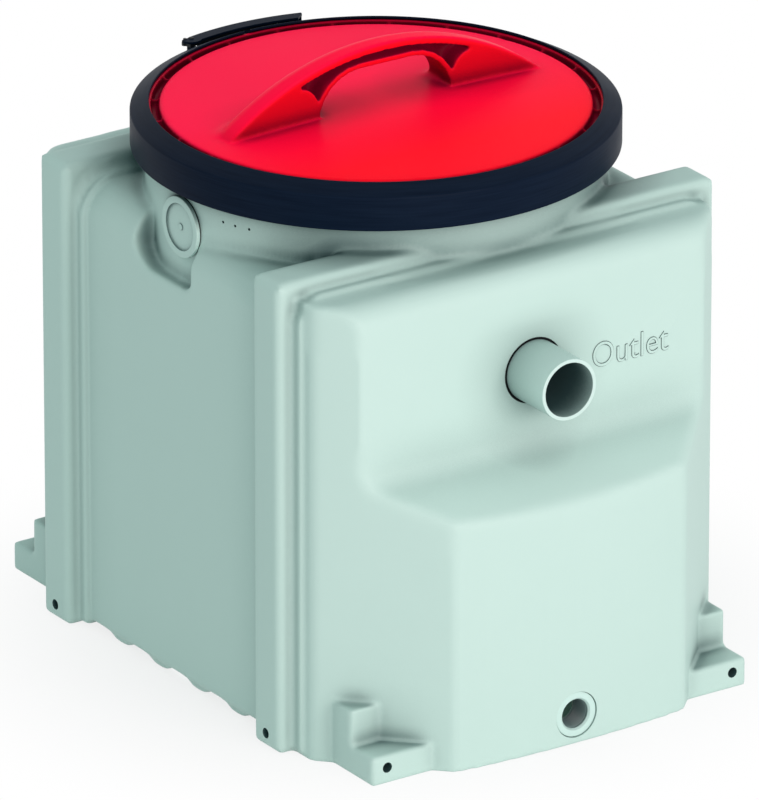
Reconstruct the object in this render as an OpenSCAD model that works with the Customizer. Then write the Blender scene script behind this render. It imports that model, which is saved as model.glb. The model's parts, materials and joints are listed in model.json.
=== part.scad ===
// Free-standing grease trap: moulded tank, round lid with clamp ring, DN 50 pipes.
// Millimetres, +Z up. Origin on the floor under the neck axis, -Y is the outlet side.

/* [Tank] */
// Width over the two bands
tank_w = 408; // [390:1:430]
// Length over the two bowed bulges
tank_len = 556; // [540:1:580]
// Wall thickness of the moulding
wall = 6; // [4:0.5:8]
// Height of the bands
band_h = 391.5; // [388:0.5:396]
// Distance between the outer faces of the two bands
band_span = 340; // [330:1:350]
// Thickness of one band along the tank
band_t = 39; // [34:1:44]
// Step from a band down to the side wall between the bands
side_step = 13.5; // [10:0.5:16]
// Edge radius of the bands
band_edge_r = 8; // [7:0.5:10]
// Drop from the bands' top to the shoulders between them
shoulder_drop = 6.5; // [4:0.5:10]
// Radius of the shoulders
shoulder_r = 28; // [22:1:34]
// Width of the ledge on each side of a band, along the tank
ledge_run = 10; // [7:0.5:12]
// Rise of the ledges from the walls beside them
ledge_out = 3.5; // [2:0.5:5]
// Height of the side wall's lower edge
wall_foot = 7; // [5:0.5:9]

/* [Bulges] */
// Step from a band's side in to the bulge's side
bulge_step = 16; // [12:0.5:20]
// Drop from the bands' top to the flat top of a bulge
bulge_drop = 13.5; // [10:0.5:18]
// Setback of an upper face from the bowed lower front
face_back = 60.5; // [54:0.5:66]
// Straight part of a bulge's side before the slanted flank
flank_run = 19.5; // [14:0.5:24]
// Plan radius of the bowed lower faces
bow_r = 690; // [600:10:900]
// Drop from the bands' top to the crease between an upper face and its shelf
crease_drop = 159.5; // [147:0.5:171]
// Slope of the shelf in degrees
shelf_slope = 25; // [18:1:30]
// Radius of the shelf's front edge
shelf_r = 16; // [12:1:20]
// Hollow radius of the crease
crease_r = 20; // [12:1:26]
// Radius along the top of a bulge
bulge_top_r = 19; // [14:1:24]

/* [Feet] */
// Setback of a foot's side from the bulge's side
foot_in = 11.7; // [8:0.1:16]
// Setback of a foot's face from the bowed front
foot_back = 21; // [16:0.5:28]
// Height of the foot plate
foot_h = 23.3; // [20:0.1:28]
// Height of the post behind the foot plate
post_h = 53; // [44:1:62]
// Setback of the post from the foot's face
post_back = 29.4; // [24:0.1:34]
// Diameter of the fixing holes
fix_d = 8.5; // [6.5:0.1:9]
// Height of the fixing holes
fix_z = 13.5; // [12:0.5:14]
// Distance of a foot's fixing hole from the foot's side
fix_in = 14; // [12:0.5:18]
// Depth of the fixing holes
fix_depth = 26; // [20:1:28]

/* [Neck and lid] */
// Outer radius of the neck
neck_r = 180; // [178:0.5:181]
// Height of the neck's rim above the bands
neck_up = 39.5; // [36:0.5:44]
// Projection of the rim bead that the ring holds
bead_out = 6.5; // [5.5:0.1:8]
// Height of the rim bead
bead_h = 10; // [8:0.5:12]
// Thickness of the lid seal
seal_t = 3; // [2:0.5:4]
// Width of the open gutter between the lid's disc and the ring
gutter_w = 7.5; // [6:0.1:10]
// Height of the disc's edge above the lid's seat
disc_rise = 10.3; // [9:0.1:12]
// Rise of the disc's dome
dome = 4; // [2:0.5:6]
// Thickness of the lid
lid_t = 4; // [3:0.5:5]
// Number of ribs in the gutter around the disc
rib_count = 24; // [12:1:36]
// Depth of the gutter's floor below the disc's edge
gutter_depth = 7; // [5:0.5:8]

/* [Handle] */
// Length of the handle where it meets the lid
handle_len = 294; // [270:1:310]
// Thickness of the handle
handle_t = 28; // [22:1:34]
// Radius that rolls the handle's top over to its back
handle_roll = 18; // [9:1:20]
// Flare of the handle's back from its crown to its foot
handle_flare = 8; // [0:1:12]
// Height of the handle's crown above the disc's edge
handle_rise = 53; // [46:1:60]
// Width of the finger opening
grip_w = 124; // [100:1:130]
// Height of the finger opening above the disc's edge
grip_h = 36.5; // [30:0.5:38]
// Corner radius of the finger opening
grip_r = 38; // [24:1:44]
// Thickness of the rim around the finger opening
grip_rim = 4.5; // [3:0.5:5]
// Thickness of the flange over the pocket
flange_t = 6; // [4:0.5:7]
// Depth of the cored pocket
pocket_d = 20; // [12:1:22]

/* [Clamp ring] */
// Inward turn of the ring's lower edge
ring_turn = 2.5; // [2:0.1:4]
// Height of the ring's outer face
ring_h = 28; // [26:0.5:30]
// Sheet thickness of the ring
ring_t = 2; // [1.5:0.1:2.4]
// Width of the ring's sloping upper lip
ring_lip_w = 15; // [13:0.5:17]
// Rise of the sloping upper lip
ring_lip_rise = 7.7; // [6:0.1:9]
// Gap between the ring's two ends
ring_gap = 6; // [3:0.5:9]
// Direction of that gap in degrees
gap_angle = 91; // [90:0.5:92]

/* [Lever] */
// Direction of the lever's pivot in degrees
pivot_angle = 102.5; // [101:0.1:106]
// Direction of the lever's free end in degrees
lever_end_angle = 73; // [70:0.5:76]
// Direction of the strike bar in degrees
strike_angle = 80; // [79:0.5:82]
// Height of the lever
lever_h = 25; // [24:0.5:26]
// Sheet thickness of the lever
lever_t = 1.8; // [1.4:0.1:2]
// Radial distance of the pivot from the ring's face
pivot_off = 9; // [8.8:0.1:9.6]
// Radius of the pivot pin
pivot_pin_r = 2; // [1.6:0.1:2.2]
// Radius of the link's pins
link_pin_r = 1.5; // [1.2:0.1:1.6]
// Square section of the link's wire
link_w = 2.5; // [2:0.1:2.8]

/* [Pipes] */
// Outer diameter of the pipes
pipe_d = 50; // [48:0.5:52]
// Wall of the pipes
pipe_wall = 3; // [2:0.1:3.6]
// Length of a stub outside its face
stub_len = 48; // [40:1:60]
// Drop from the bands' top to the outlet's axis
outlet_drop = 98.5; // [92:0.5:106]
// Drop from the bands' top to the inlet's axis
inlet_drop = 78.5; // [72:0.5:86]
// Thickness of the seals around the pipes
grommet_t = 2; // [1.5:0.1:3]
// Distance of the outlet's dip pipe from the upper face
dip_off = 52.5; // [48:0.5:60]
// Height of the dip pipe's lower end
dip_z = 70; // [50:1:120]
// Centre-line radius of the inlet elbow
elbow_r = 32; // [30:1:40]

/* [Drain and vent] */
// Height of the drain's axis
drain_z = 25.5; // [25:0.5:30]
// Bore of the drain bush, a 3/4 inch female thread
drain_d = 24.1; // [22:0.1:25]
// Flange diameter of the drain bush
drain_flange_d = 37; // [35:0.5:38]
// Length of the drain bush
drain_len = 22; // [18:1:26]
// Drop from the bands' top to the vent plug's axis
vent_drop = 11.5; // [9:0.5:14]
// Flange diameter of the vent plug
vent_d = 49.4; // [46:0.1:51]
// Width of the scoop in the shoulder below the vent plug
scoop_w = 107; // [100:1:112]
// Drop from the vent plug's axis to the scoop's floor
scoop_drop = 45; // [40:1:50]
// Corner radius of the scoop
scoop_r = 25; // [18:1:30]

/* [Sludge bucket] */
// Distance of the bucket's axis behind the neck axis
bucket_y = 95; // [88:1:98]
// Height of the bucket
bucket_h = 165; // [140:1:180]
// Outer radius of the bucket's foot
bucket_foot_r = 68; // [60:1:72]
// Outer radius of the bucket's mouth
bucket_mouth_r = 78; // [74:1:80]
// Wall of the bucket
bucket_wall = 3; // [2:0.5:4]
// Number of strainer slots
slot_count = 12; // [8:1:16]
// Radius of the bail's wire
bail_r = 2.5; // [2:0.1:3]

/* [Hidden] */
$fn = 96;

// Colours of the materials
tank_grey = "#c4dcd3";
pipe_grey = "#b9cdc6";
lid_red = "#e8202f";
ring_black = "#1a2632";
rubber_black = "#1c1f20";
steel_grey = "#8d9398";
bush_grey = "#a9bab4";

// Steps in each rounded corner, and the reach of cuts past a face
arc_steps = 6;
over = 1;
cut = 40;
// Working gaps: beside a loose piece, inside a push fit, and on a pivot
loose = 0.5;
push = 0.15;
swing = 0.15;

// Tank: half sizes, heights and places
half_w = tank_w / 2;
side_x = half_w - side_step;
bulge_w = tank_w - 2 * bulge_step;
band_y = band_span / 2 - band_t / 2;
bow_y = tank_len / 2;
face_y = bow_y - face_back;
flank_sum = bulge_w / 2 + band_span / 2 + flank_run;
bow_mid = bow_y - bow_r;
bow_clear = 1.5;
flank_clear = 0.4;
shoulder_h = band_h - shoulder_drop;
bulge_top = band_h - bulge_drop;
crease_z = band_h - crease_drop;
core_z = shoulder_h - 2 * shoulder_r;
side_edge_r = 4;
flank_edge_r = 18;
bow_edge_r = 13;
min_edge_r = 2;
sole_r = 6;
rib_r = 30;
rib_pitch = 55;
rib_count_base = 4;

// Feet and fixing holes
foot_x = bulge_w / 2 - foot_in;
foot_y = bow_y - foot_back;
post_y = foot_y - post_back;
foot_edge_r = 4;
foot_root = foot_y - band_y;
fix_x = foot_x - fix_in;

// Neck, lid and ring: heights and radii
rim_z = band_h + neck_up;
bead_r = neck_r + bead_out;
lower_lip_r = bead_r + loose;
ring_in = lower_lip_r + ring_turn;
ring_r = ring_in + ring_t;
ring_lip_r = ring_r - ring_lip_w;
disc_r = ring_lip_r - gutter_w;
lid_seat_z = rim_z + seal_t;
disc_z = lid_seat_z + disc_rise;
gutter_z = disc_z - gutter_depth;
gutter_draft = 0.6;
gutter_in = disc_r + gutter_draft;
rim_wall = 1.5;
gutter_out = ring_lip_r - rim_wall;
spigot_r = neck_r - wall - loose;
spigot_len = 10;
lip_stand = 3.4;
lip_z = disc_z + lip_stand;
crease_ring_z = lip_z - ring_lip_rise;
ring_z = crease_ring_z - ring_h;
lip_slope = ring_lip_rise / ring_lip_w;
lip_drop = ring_t * sqrt(1 + lip_slope * lip_slope);
rim_gap = 0.4;
rim_land = 2;
disc_edge = 2;

// Handle: the crown is an arc over its foot
crown_z = disc_z + handle_rise;
crown_r = (handle_len * handle_len / 4 + handle_rise * handle_rise) / (2 * handle_rise);
crown_mid = crown_z - crown_r;
grip_z = disc_z + grip_h;
tail_r = 20;
tail_x = grip_w / 2 + tail_r;
tail_z = sqrt((crown_r - flange_t) ^ 2 - tail_x ^ 2) + crown_mid - tail_r;

// Lever: pivot, link eye and levels
pivot_r = ring_r + pivot_off;
lever_back = 3.1;
lever_gap = 2;
lever_over = 3.3;
lever_out = pivot_r + lever_back;
lever_in = ring_r + lever_gap;
lever_z = crease_ring_z + lever_over - lever_h;
knuckle_wall = 1.4;
knuckle_r = pivot_pin_r + knuckle_wall;
knuckle_h = 12;
knuckle_z = lever_z + (lever_h - knuckle_h) / 2;
heel_gap = 0.6;
heel_r = pivot_off - heel_gap;
eye_off = 5.3;
eye_lean = 25;
eye = [-eye_off * cos(eye_lean), eye_off * sin(eye_lean)];
eye_wall = 1.1;
eye_r = link_pin_r + eye_wall;
link_out = pivot_r - pivot_pin_r - loose;
link_in = link_out - link_w;
link_mid = (link_in + link_out) / 2;
link_gap = 0.7;
link_z = lever_z + lever_t + link_gap;
link_top = lever_z + lever_h - lever_t - link_gap;
bar_r = 2.3;
plate_t = 1.5;
plate_half_angle = 3.4;
strike_t = 3;
strike_gap = 0.9;
strike_reach = 8;

// Pipes
outlet_z = band_h - outlet_drop;
inlet_z = band_h - inlet_drop;
pipe_r = pipe_d / 2;
bore_r = pipe_r - pipe_wall;
spigot_less = 0.3;
spigot_pipe_r = pipe_r - spigot_less;
stub_end = face_y + stub_len;
hole_r = pipe_r + grommet_t;
inner_face = face_y - wall;
socket_t = 3.5;
socket_depth = 28;
socket_gap = 2.5;
grommet_lip = 3;
grommet_flange = 5;
grommet_lip_r = hole_r + grommet_flange;
socket_end = inner_face - grommet_lip - socket_gap;
spigot_end = socket_end - socket_depth;
dip_y = face_y - dip_off;
tee_drop = 55;
tee_rise = 42;
branch_less = 0.5;
elbow_tail = 28;

// Drain and vent
drain_wall = 4;
drain_barrel_r = drain_d / 2 + drain_wall;
drain_flange_t = 3;
drain_sink = 1;
vent_z = band_h - vent_drop;
scoop_z = vent_z - scoop_drop;
scoop_top = 2;
vent_sink = 1;
vent_seat = neck_r - vent_sink;
vent_flange_t = 3;
vent_seal_t = 1;
vent_rim = 4.9;
vent_barrel_r = vent_d / 2 - vent_rim;
vent_barrel_len = 13;
vent_recess_d = 1.8;
vent_wall = 3;
vent_step = 0.75;

// Bucket
floor_z = wall_foot + wall;
bucket_top = floor_z + bucket_h;
bead_t = 4;
rest_gap = 0.3;
bail_over = 1;
bail_ring_r = bucket_mouth_r + bail_over;
bail_z = bucket_top + bail_r + rest_gap;
lug_gap = 2.5;
lug_x = bail_ring_r + bail_r + lug_gap;
lug_t = 4;
lug_wall = 4.5;
lug_r = bail_r + lug_wall;

function unit(v) = v / norm(v);
function polar(r, a) = [r * cos(a), r * sin(a)];
function turn(a) = a > 180 ? a - 360 : a < -180 ? a + 360 : a;

// One corner of an outline as an arc of radius r between its two straight sides
function corner(a, p, b, r) =
    let(u = unit(a - p), v = unit(b - p), half = acos(u * v) / 2)
    let(c = p + unit(u + v) * r / sin(half), s = p + u * r / tan(half) - c)
    let(e = p + v * r / tan(half) - c, from = atan2(s.y, s.x))
    let(sweep = turn(atan2(e.y, e.x) - from))
    r <= 0 ? [p] : [for (i = [0 : arc_steps]) c + polar(r, from + sweep * i / arc_steps)];

// An outline from points that each carry their own radius: [across, up, radius]
function rounded(pts) =
    let(n = len(pts), flat = [for (p = pts) [p.x, p.y]])
    [for (i = [0 : n - 1]) each corner(flat[(i + n - 1) % n], flat[i], flat[(i + 1) % n], pts[i].z)];

function box_outline(x0, x1, y0, y1, r) = [[x0, y0, r], [x1, y0, r], [x1, y1, r], [x0, y1, r]];

// Plan of a bulge: straight sides, slanted flanks and a bowed front, drawn in by inset i
function flank(i) = flank_sum - i * sqrt(2);
function bow_corner_x(i) =
    let(m = flank(i) - bow_mid, r = bow_r - i)
    (m - sqrt(2 * r * r - m * m)) / 2;
function bulge_plan(i, steps = 8) =
    let(x = bulge_w / 2 - i, r = bow_r - i, half = asin(bow_corner_x(i) / r))
    concat([[-x, band_y, 0], [x, band_y, 0], [x, flank(i) - x, flank_edge_r]],
        [for (k = [0 : steps]) let(a = half - 2 * half * k / steps)
            [r * sin(a), bow_mid + r * cos(a), k == 0 || k == steps ? bow_edge_r : 0]],
        [[-x, flank(i) - x, flank_edge_r]]);

// Side view of a bulge: lower front, sloping shelf, crease, upper face and rounded top
function shelf_z(y, i) = crease_z - (y - face_y) * tan(shelf_slope) - i / cos(shelf_slope);
function bulge_side(i) =
    let(front = bow_y + bow_clear - i, face = face_y - i)
    [[band_y, i, 0], [front, i, sole_r], [front, shelf_z(front, i), shelf_r - i],
        [face, shelf_z(face, i), crease_r + i], [face, bulge_top - i, bulge_top_r - i],
        [band_y, bulge_top - i, 0]];

// Extrude an outline drawn in x and z along Y, or one drawn in y and z along X, about the middle
module along_y(length) {
    rotate([90, 0, 0]) linear_extrude(length, center = true) children();
}

module along_x(length) {
    rotate([90, 0, 90]) linear_extrude(length, center = true) children();
}

// Cylinder along an axis from one place to another
module rod_x(x0, x1, r) {
    translate([x0, 0, 0]) rotate([0, 90, 0]) cylinder(h = x1 - x0, r = r);
}

module rod_y(y0, y1, r) {
    translate([0, y1, 0]) rotate([90, 0, 0]) cylinder(h = y1 - y0, r = r);
}

module both_ends() {
    children();
    mirror([0, 1, 0]) children();
}

module both_sides() {
    children();
    mirror([1, 0, 0]) children();
}

// Block across the tank with rounded top corners, from one place along the tank to another
module slab(x, low, high, r, y0, y1) {
    translate([0, (y0 + y1) / 2, 0]) along_y(y1 - y0)
        polygon(rounded([[-x, low, side_edge_r], [x, low, side_edge_r], [x, high, r], [-x, high, r]]));
}

// The moulding's four forms, each drawn in by inset i for the inside of the wall
module middle_form(i) {
    slab(side_x - i, wall_foot + i, shoulder_h - i, shoulder_r - i, -band_y, band_y);
}

// Ledges on both sides of a band: one around the wall between the bands, one around the bulge
module ledge_form(i) {
    out = ledge_out - i;
    reach = band_t / 2 + ledge_run - i;
    low = wall_foot - out;
    slab(side_x + out, low, shoulder_h + out, shoulder_r + out, band_y - reach, band_y + over);
    slab(bulge_w / 2 + out, low, bulge_top + out, bulge_top_r + out, band_y - over, band_y + reach);
}

module band_form(i) {
    x = half_w - i;
    y = band_t / 2 - i;
    r = max(band_edge_r - i, min_edge_r);
    translate([0, band_y, 0]) intersection() {
        along_y(2 * band_t) polygon(rounded(box_outline(-x, x, i, band_h - i, r)));
        along_x(2 * tank_w) polygon(rounded(box_outline(-y, y, i, band_h - i, r)));
        linear_extrude(2 * band_h) polygon(rounded(box_outline(-x, x, -y, y, r)));
    }
}

module bulge_form(i) {
    intersection() {
        linear_extrude(band_h) polygon(rounded(bulge_plan(i)));
        along_x(2 * tank_w) polygon(rounded(bulge_side(i)));
        for (a = [-90, -45, 45, 90]) rotate([0, 0, a]) flank_top(i, abs(a) == 45);
    }
}

// Block whose outer top edge is rounded, as wide as the bulge's sides or its slanted flanks
module flank_top(i, slanted) {
    y = (slanted ? flank(i) / sqrt(2) : bulge_w / 2 - i) + flank_clear;
    high = bulge_top - i;
    along_x(2 * tank_len)
        polygon(rounded([[-tank_len, -over, 0], [y, -over, 0], [y, high, bulge_top_r - i],
            [-tank_len, high, 0]]));
}

// Scoop in the shoulder, outside the neck's surface, grown by g for the inside of the wall
module scoop(g) {
    y = scoop_w / 2 + g;
    difference() {
        translate([-half_w, 0, 0]) along_x(2 * cut)
            polygon(rounded([[-y, scoop_z - g, scoop_r], [y, scoop_z - g, scoop_r],
                [y, ring_z - scoop_top, 0], [-y, ring_z - scoop_top, 0]]));
        translate([0, 0, core_z]) cylinder(h = band_h, r = neck_r - g);
    }
}

module foot() {
    linear_extrude(foot_h)
        polygon(rounded([[foot_x - foot_root, foot_y - foot_root, 0], [foot_x, foot_y - foot_root, 0],
            [foot_x, foot_y, foot_edge_r], [foot_x - foot_root, foot_y, 0]]));
    linear_extrude(post_h)
        polygon(rounded([[foot_x - foot_root, foot_y - foot_root, 0], [foot_x, foot_y - foot_root, 0],
            [foot_x, post_y, foot_edge_r], [foot_x - foot_root, post_y, 0]]));
}

module neck() {
    translate([0, 0, core_z]) cylinder(h = rim_z - core_z, r = neck_r);
    slope_z = rim_z - bead_h;
    rotate_extrude() polygon([[neck_r - over, slope_z - (bead_r - neck_r) - over],
        [bead_r, slope_z], [bead_r, rim_z], [neck_r - over, rim_z]]);
}

module tank() {
    boss_r = fix_d;
    color(tank_grey) difference() {
        union() {
            middle_form(0);
            both_ends() band_form(0);
            both_ends() ledge_form(0);
            both_ends() bulge_form(0);
            both_ends() both_sides() foot();
            for (k = [0 : rib_count_base - 1])
                translate([0, (k - (rib_count_base - 1) / 2) * rib_pitch, rib_r])
                    rod_x(-side_x + side_edge_r, side_x - side_edge_r, rib_r);
            neck();
        }
        scoop(0);
        difference() {
            union() {
                middle_form(wall);
                both_ends() band_form(wall);
                both_ends() ledge_form(wall);
                both_ends() bulge_form(wall);
                translate([0, 0, core_z]) cylinder(h = band_h, r = neck_r - wall);
            }
            scoop(wall);
            for (y = [-1, 1]) both_sides()
                translate([0, y * band_y, fix_z])
                    rod_x(half_w - fix_depth - wall, half_w, boss_r);
        }
        both_ends() both_sides() translate([fix_x, 0, fix_z])
            rod_y(foot_y - fix_depth, foot_y + over, fix_d / 2);
        for (y = [-1, 1]) both_sides() translate([0, y * band_y, fix_z])
            rod_x(half_w - fix_depth, half_w + over, fix_d / 2);
        translate([0, 0, outlet_z]) rod_y(-face_y - over, -face_y + cut, hole_r);
        translate([0, 0, inlet_z]) rod_y(face_y - cut, face_y + over, hole_r);
        translate([0, 0, drain_z]) {
            rod_y(-bow_y - over, -bow_y + cut, drain_barrel_r + push);
            rod_y(-bow_y - over, -bow_y + drain_sink + drain_flange_t, drain_flange_d / 2 + loose);
        }
        translate([0, 0, vent_z]) {
            rod_x(-half_w, -vent_seat, vent_d / 2 + loose);
            rod_x(-half_w, -vent_seat + cut, vent_barrel_r + push);
        }
    }
}

// Pipe stub with a slightly thinner inner end, drawn for the +Y side
module stub() {
    difference() {
        union() {
            rod_y(face_y + over, stub_end, pipe_r);
            rod_y(spigot_end, face_y + 2 * over, spigot_pipe_r);
        }
        rod_y(spigot_end - over, stub_end + over, bore_r);
    }
}

// Rubber grommet in the hole around a stub, drawn for the +Y side
module grommet() {
    difference() {
        union() {
            rod_y(inner_face - grommet_lip, face_y - loose, hole_r - push);
            rod_y(inner_face - grommet_lip, inner_face, grommet_lip_r);
        }
        rod_y(inner_face - cut, face_y + over, spigot_pipe_r + push);
    }
}

module outlet_pipe() {
    color(pipe_grey) mirror([0, 1, 0]) translate([0, 0, outlet_z]) stub();
}

module outlet_seal() {
    color(rubber_black) mirror([0, 1, 0]) translate([0, 0, outlet_z]) grommet();
}

module outlet_tee() {
    body_r = pipe_r + socket_t;
    low = outlet_z - tee_drop;
    color(pipe_grey) difference() {
        union() {
            translate([0, -dip_y, low]) cylinder(h = tee_drop + tee_rise, r = body_r);
            translate([0, 0, outlet_z]) rod_y(-socket_end, -dip_y, body_r - branch_less);
        }
        translate([0, -dip_y, low - over]) cylinder(h = tee_drop + tee_rise + 2 * over, r = bore_r);
        translate([0, -dip_y, low - over]) cylinder(h = socket_depth + over, r = pipe_r + push);
        translate([0, 0, outlet_z]) {
            rod_y(-socket_end - over, -spigot_end, spigot_pipe_r + push);
            rod_y(-socket_end - over, -dip_y, bore_r - branch_less);
        }
    }
}

module outlet_dip_pipe() {
    top = outlet_z - tee_drop + socket_depth - push;
    color(pipe_grey) translate([0, -dip_y, dip_z]) difference() {
        cylinder(h = top - dip_z, r = pipe_r);
        translate([0, 0, -over]) cylinder(h = top - dip_z + 2 * over, r = bore_r);
    }
}

module inlet_pipe() {
    color(pipe_grey) translate([0, 0, inlet_z]) stub();
}

module inlet_seal() {
    color(rubber_black) translate([0, 0, inlet_z]) grommet();
}

// Quarter bend from the socket's axis down to the vertical, about the elbow's inner centre
module bend(r) {
    translate([0, spigot_end, inlet_z - elbow_r]) rotate([0, 0, 90]) rotate([90, 0, 0])
        rotate([0, 0, 90]) rotate_extrude(angle = 90) translate([elbow_r, 0]) circle(r);
}

module inlet_elbow() {
    tail_y = spigot_end - elbow_r;
    tail_z = inlet_z - elbow_r - elbow_tail;
    color(pipe_grey) difference() {
        union() {
            translate([0, 0, inlet_z]) rod_y(spigot_end - over, socket_end, pipe_r + socket_t);
            bend(pipe_r);
            translate([0, tail_y, tail_z]) cylinder(h = elbow_tail, r = pipe_r);
        }
        translate([0, 0, inlet_z]) rod_y(spigot_end, socket_end + over, spigot_pipe_r + push);
        bend(bore_r);
        translate([0, tail_y, tail_z - over]) cylinder(h = elbow_tail + over, r = bore_r);
    }
}

module drain_bush() {
    front = -bow_y + drain_sink;
    color(bush_grey) translate([0, 0, drain_z]) difference() {
        union() {
            rod_y(front, front + drain_flange_t, drain_flange_d / 2);
            rod_y(front, front + drain_len, drain_barrel_r);
        }
        rod_y(front - over, front + drain_len + over, drain_d / 2);
    }
}

module vent_plug() {
    back = -vent_seat - vent_seal_t;
    front = back - vent_flange_t;
    gate_r = 2.5;
    shell_r = vent_barrel_r - vent_wall;
    recess_r = vent_barrel_r - vent_step;
    color(tank_grey) translate([0, 0, vent_z]) {
        difference() {
            union() {
                rod_x(front, back, vent_d / 2);
                rod_x(back - over, back + vent_barrel_len, vent_barrel_r);
            }
            rod_x(front - over, front + vent_recess_d, recess_r);
            rod_x(back, back + vent_barrel_len + over, shell_r);
        }
        rod_x(front + vent_recess_d / 2, front + vent_recess_d + over / 2, gate_r);
    }
}

module vent_seal() {
    color(rubber_black) translate([0, 0, vent_z]) difference() {
        rod_x(-vent_seat - vent_seal_t, -vent_seat, vent_d / 2 - push);
        rod_x(-vent_seat - cut, -vent_seat + over, vent_barrel_r + push);
    }
}

module sludge_bucket() {
    foot_in = bucket_foot_r - bucket_wall;
    mouth_in = bucket_mouth_r - bucket_wall;
    slot_w = 7;
    slot_h = 0.4 * bucket_h;
    slot_z = 0.45 * bucket_h;
    color(pipe_grey) translate([0, bucket_y, floor_z]) difference() {
        union() {
            cylinder(h = bucket_h, r1 = bucket_foot_r, r2 = bucket_mouth_r);
            translate([0, 0, bucket_h - bead_t]) cylinder(h = bead_t, r = bucket_mouth_r + bead_t);
            for (s = [-1, 1]) translate([s * (lug_x + lug_t / 2), 0, 0]) {
                translate([0, 0, bail_z - floor_z]) rod_x(-lug_t / 2, lug_t / 2, lug_r);
                translate([-lug_t / 2 - (s > 0 ? bead_t : 0), -lug_r, bucket_h - bead_t])
                    cube([lug_t + bead_t, 2 * lug_r, bead_t]);
            }
        }
        translate([0, 0, bucket_wall])
            cylinder(h = bucket_h, r1 = foot_in, r2 = mouth_in);
        for (k = [0 : slot_count - 1]) rotate([0, 0, (k + 0.5) * 360 / slot_count])
            translate([foot_in - cut / 2, -slot_w / 2, slot_z]) cube([cut, slot_w, slot_h]);
        translate([0, 0, bail_z - floor_z])
            rod_x(-lug_x - lug_t - over, lug_x + lug_t + over, bail_r + swing);
    }
}

module bucket_bail() {
    tail = 2;
    color(steel_grey) translate([0, bucket_y, bail_z]) {
        rotate([0, 0, 180]) rotate_extrude(angle = 180) translate([bail_ring_r, 0]) circle(bail_r);
        both_sides() rod_x(bail_ring_r, lug_x + lug_t + tail, bail_r);
        both_sides() translate([bail_ring_r, 0, 0]) sphere(bail_r);
    }
}

// Height of the disc's domed top at radius r, t below its surface
function dome_z(r, t) = disc_z + dome * (1 - (r / disc_r) ^ 2) - t;
dome_steps = 10;
function dome_line(r_end, t) = [for (k = [0 : dome_steps]) let(r = r_end * k / dome_steps) [r, dome_z(r, t)]];
function reversed(list) = [for (k = [len(list) - 1 : -1 : 0]) list[k]];

// Underside of the ring's sloping lip at radius r
function lip_under(r) = crease_ring_z + (ring_r - r) * lip_slope - lip_drop;

module lid_shell() {
    edge_r = disc_r - disc_edge;
    land_r = gutter_out + rim_land;
    land_z = lip_under(land_r) - rim_gap;
    under_r = spigot_r - lid_t;
    hub_r = under_r - lid_t;
    rotate_extrude() polygon(concat(
        dome_line(edge_r, 0),
        [[disc_r, disc_z - disc_edge / 2], [gutter_in, gutter_z], [gutter_out, gutter_z],
            [gutter_out, land_z], [land_r, land_z],
            [bead_r, lip_under(bead_r) - rim_gap], [bead_r, lid_seat_z], [spigot_r, lid_seat_z],
            [spigot_r, lid_seat_z - spigot_len], [under_r, lid_seat_z - spigot_len],
            [under_r, gutter_z - lid_t], [hub_r, gutter_z - lid_t], [hub_r, dome_z(hub_r, lid_t)]],
        reversed(dome_line(hub_r - lid_t, lid_t))));
}

// Outline of the finger opening in x and z, grown by g
module grip_outline(g) {
    x = grip_w / 2 + g;
    polygon(rounded([[-x, disc_z - cut, 0], [x, disc_z - cut, 0],
        [x, grip_z + g, grip_r + g], [-x, grip_z + g, grip_r + g]]));
}

// Cored pocket between the crown's flange and the rim of the finger opening, with fishtail ends
module pocket_outline() {
    x = tail_x;
    difference() {
        intersection() {
            translate([0, crown_mid]) circle(crown_r - flange_t);
            translate([-x, tail_z]) square([2 * x, crown_r]);
        }
        grip_outline(grip_rim);
        both_sides() translate([x, tail_z]) circle(tail_r);
    }
}

module handle() {
    front_r = 2.5;
    y = handle_t / 2;
    back_y = y + handle_flare * crown_r / handle_rise;
    below = 4 * crown_r;
    difference() {
        translate([0, 0, crown_mid]) rotate([-90, 0, 0])
            rotate_extrude() polygon(rounded([[0, -y, 0], [crown_r, -y, front_r], [crown_r, y, handle_roll],
                [0, back_y, 0]]));
        translate([-tank_w, -tank_w, dome_z(handle_len / 2, 0) - below - over])
            cube([2 * tank_w, 2 * tank_w, below]);
        along_y(2 * cut) grip_outline(0);
        translate([0, -y - cut + pocket_d, 0]) along_y(2 * cut) pocket_outline();
    }
}

module lid() {
    rib_t = 2.5;
    rib_drop = 3;
    rib_root = 1.5;
    color(lid_red) {
        lid_shell();
        handle();
        for (k = [0 : rib_count - 1]) rotate([0, 0, (k + 0.5) * 360 / rib_count])
            translate([disc_r - rib_root, -rib_t / 2, gutter_z - over])
                cube([gutter_out - disc_r + rib_root + rim_wall / 3, rib_t, gutter_depth - rib_drop + over]);
    }
}

module lid_seal() {
    color(rubber_black) translate([0, 0, rim_z]) difference() {
        cylinder(h = seal_t, r = bead_r - loose);
        translate([0, 0, -over]) cylinder(h = seal_t + 2 * over, r = spigot_r + loose);
    }
}

// Place a child at the lever's pivot: local +X towards the free end, +Y outwards
module at_pivot() {
    rotate([0, 0, pivot_angle - 90]) translate([0, pivot_r, 0]) children();
}

// Curved strip between two radii, from one direction to another
module strip(r0, r1, a0, a1, z0, z1) {
    rotate([0, 0, a0]) rotate_extrude(angle = a1 - a0)
        translate([r0, z0]) square([r1 - r0, z1 - z0]);
}

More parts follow.
